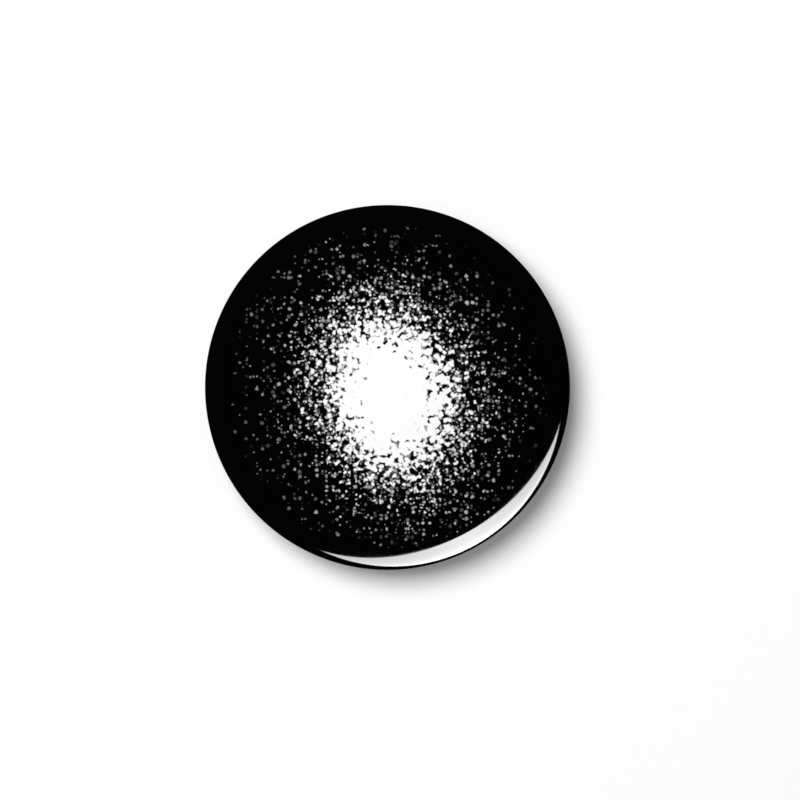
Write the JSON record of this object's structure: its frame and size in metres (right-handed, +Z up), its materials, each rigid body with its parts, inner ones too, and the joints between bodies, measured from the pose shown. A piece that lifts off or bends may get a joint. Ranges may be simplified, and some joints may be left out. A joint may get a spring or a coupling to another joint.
{
  "type": "button badge",
  "caption": "Round domed pin-back button badge with a gloss film over a black print with a white speckled burst, and a hinged bar pin with a turning catch lock.",
  "frame": {"origin": "on the badge's axis, in the plane of the rear crest of the back plate's bead, where cloth bears", "axes": "+Y along the badge's axis towards the cloth behind it, the printed face looks along -Y, +Z up as worn, +X along the needle from its hinge to its point"},
  "size_m": [0.038, 0.0076, 0.038],
  "materials": {
    "clear_film": "clear high-gloss polyester film",
    "printed_paper": "coated paper printed in black, with a white speckled burst in the middle",
    "tinplate": "tinplated sheet steel, satin, with faint rolling lines",
    "plated_strip": "nickel-plated steel strip, semi-bright",
    "plated_rivet": "nickel-plated steel, bright",
    "needle_wire": "drawn steel wire, polished, with a ground point",
    "plated_brass": "nickel-plated brass, bright, worn on the tab"
  },
  "bodies": {
    "badge": {"cover_film": "clear_film", "printed_disc": "printed_paper", "front_shell": "tinplate", "back_plate": "tinplate", "pin_bar": "plated_strip", "bar_rivets": "plated_rivet", "hinge_rivet": "plated_rivet"},
    "needle": {"needle": "needle_wire"},
    "lock": {"catch_lock": "plated_brass"}
  },
  "joints": [
    {"name": "needle_hinge", "type": "hinge", "parent": "badge", "child": "needle", "pos_m": [-0.01097, 0.00075, 0.0025], "axis": [0, 0, 1], "range_deg": [0, 110]},
    {"name": "lock_turn", "type": "hinge", "parent": "badge", "child": "lock", "pos_m": [0.01037, 0.00075, 0.0025], "axis": [1, 0, 0], "range_deg": [0, 110]}
  ]
}
